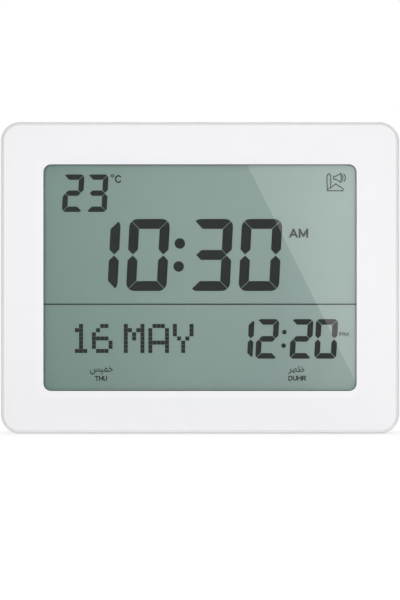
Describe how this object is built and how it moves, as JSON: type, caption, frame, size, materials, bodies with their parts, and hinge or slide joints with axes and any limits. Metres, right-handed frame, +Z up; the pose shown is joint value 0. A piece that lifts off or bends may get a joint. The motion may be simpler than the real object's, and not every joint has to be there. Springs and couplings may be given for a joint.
{
  "type": "azan clock",
  "caption": "Flat rectangular desk or wall clock with a large segment display behind a clear lens, a fold-out rear leg, keyhole hangers, a row of rear keys and a battery door.",
  "frame": {"origin": "middle of the case's flat underside", "axes": "+X to the right as seen from the front, +Y from the front to the back, +Z up"},
  "size_m": [0.23, 0.03, 0.18],
  "materials": {
    "white_shell": "fine satin white plastic",
    "key_plastic": "satin pale grey plastic",
    "plunger_plastic": "black plastic",
    "lens": "clear gloss acrylic",
    "dark_tape": "dark grey-green tape",
    "foam": "black foam",
    "film": "polariser film",
    "glass": "clear display glass",
    "seal": "pale epoxy seal",
    "reflector": "grey-green reflective film",
    "segments": "dark liquid-crystal strokes",
    "frame_plastic": "white moulded frame",
    "zebra": "layered silicone rubber",
    "board": "green solder mask",
    "black_resin": "black resin",
    "can_metal": "bright metal can",
    "capacitor_sleeve": "dark blue sleeve on an aluminium can",
    "sensor_bead": "epoxy bead",
    "switch_case": "black nylon",
    "spring_steel": "nickel-plated steel",
    "ribbon": "grey flat cable",
    "screw_steel": "zinc-plated steel",
    "surround": "black rubber",
    "cone_paper": "black paper cone",
    "magnet": "dark ferrite",
    "cell_can": "plain printed sleeve on a metal can",
    "lead": "insulated lead",
    "socket_plastic": "ivory nylon",
    "pad_rubber": "soft rubber"
  },
  "bodies": {
    "case": {"front_bezel": "white_shell", "rear_cover": "white_shell", "display_lens": "lens", "lens_tape": "dark_tape", "display_cushion": "foam", "front_polariser": "film", "front_glass": "glass", "glass_seal": "seal", "rear_glass": "glass", "reflector_film": "reflector", "display_marks": "segments", "display_frame": "frame_plastic", "contact_strips": "zebra", "main_board": "board", "key_board": "board", "controller_chip": "black_resin", "amplifier_chip": "black_resin", "quartz_crystal": "can_metal", "capacitors": "capacitor_sleeve", "temperature_sensor": "sensor_bead", "key_switches": "switch_case", "switch_domes": "spring_steel", "key_ribbon": "ribbon", "case_screws": "screw_steel", "board_screws": "screw_steel", "key_board_screws": "screw_steel", "speaker_screws": "screw_steel", "speaker_washers": "screw_steel", "speaker_gasket": "foam", "speaker_basket": "spring_steel", "speaker_surround": "surround", "speaker_magnet": "magnet", "speaker_yoke": "spring_steel", "cells": "cell_can", "battery_contacts": "spring_steel", "battery_springs": "spring_steel", "battery_leads": "lead", "speaker_leads": "lead", "wire_sockets": "socket_plastic", "hinge_pin": "screw_steel"},
    "stand": {"stand_leg": "white_shell", "leg_pads": "pad_rubber"},
    "door": {"battery_door": "white_shell"},
    "sounder_cone": {"speaker_cone": "cone_paper"},
    "mode_button": {"mode_key": "key_plastic", "mode_plunger": "plunger_plastic"},
    "set_button": {"set_key": "key_plastic", "set_plunger": "plunger_plastic"},
    "down_button": {"down_key": "key_plastic", "down_plunger": "plunger_plastic"},
    "up_button": {"up_key": "key_plastic", "up_plunger": "plunger_plastic"},
    "volume_button": {"volume_key": "key_plastic", "volume_plunger": "plunger_plastic"},
    "azan_button": {"azan_key": "key_plastic", "azan_plunger": "plunger_plastic"}
  },
  "joints": [
    {"name": "stand_hinge", "type": "hinge", "parent": "case", "child": "stand", "pos_m": [0, 0.0126, 0.075], "axis": [1, 0, 0], "range_deg": [0, 32]},
    {"name": "door_hinge", "type": "hinge", "parent": "case", "child": "door", "pos_m": [0.0662, 0.015, 0.0189], "axis": [-1, 0, 0], "range_deg": [0, 85]},
    {"name": "cone_slide", "type": "slide", "parent": "case", "child": "sounder_cone", "axis": [0, 1, 0], "range_m": [-0.0004, 0.0004], "stiffness_N_per_m": 800},
    {"name": "mode_press", "type": "slide", "parent": "case", "child": "mode_button", "axis": [0, -1, 0], "range_m": [0, 0.0006], "stiffness_N_per_m": 600, "springref_m": -0.0006},
    {"name": "set_press", "type": "slide", "parent": "case", "child": "set_button", "axis": [0, -1, 0], "range_m": [0, 0.0006], "stiffness_N_per_m": 600, "springref_m": -0.0006},
    {"name": "down_press", "type": "slide", "parent": "case", "child": "down_button", "axis": [0, -1, 0], "range_m": [0, 0.0006], "stiffness_N_per_m": 600, "springref_m": -0.0006},
    {"name": "up_press", "type": "slide", "parent": "case", "child": "up_button", "axis": [0, -1, 0], "range_m": [0, 0.0006], "stiffness_N_per_m": 600, "springref_m": -0.0006},
    {"name": "volume_press", "type": "slide", "parent": "case", "child": "volume_button", "axis": [0, -1, 0], "range_m": [0, 0.0006], "stiffness_N_per_m": 600, "springref_m": -0.0006},
    {"name": "azan_press", "type": "slide", "parent": "case", "child": "azan_button", "axis": [0, -1, 0], "range_m": [0, 0.0006], "stiffness_N_per_m": 600, "springref_m": -0.0006}
  ]
}
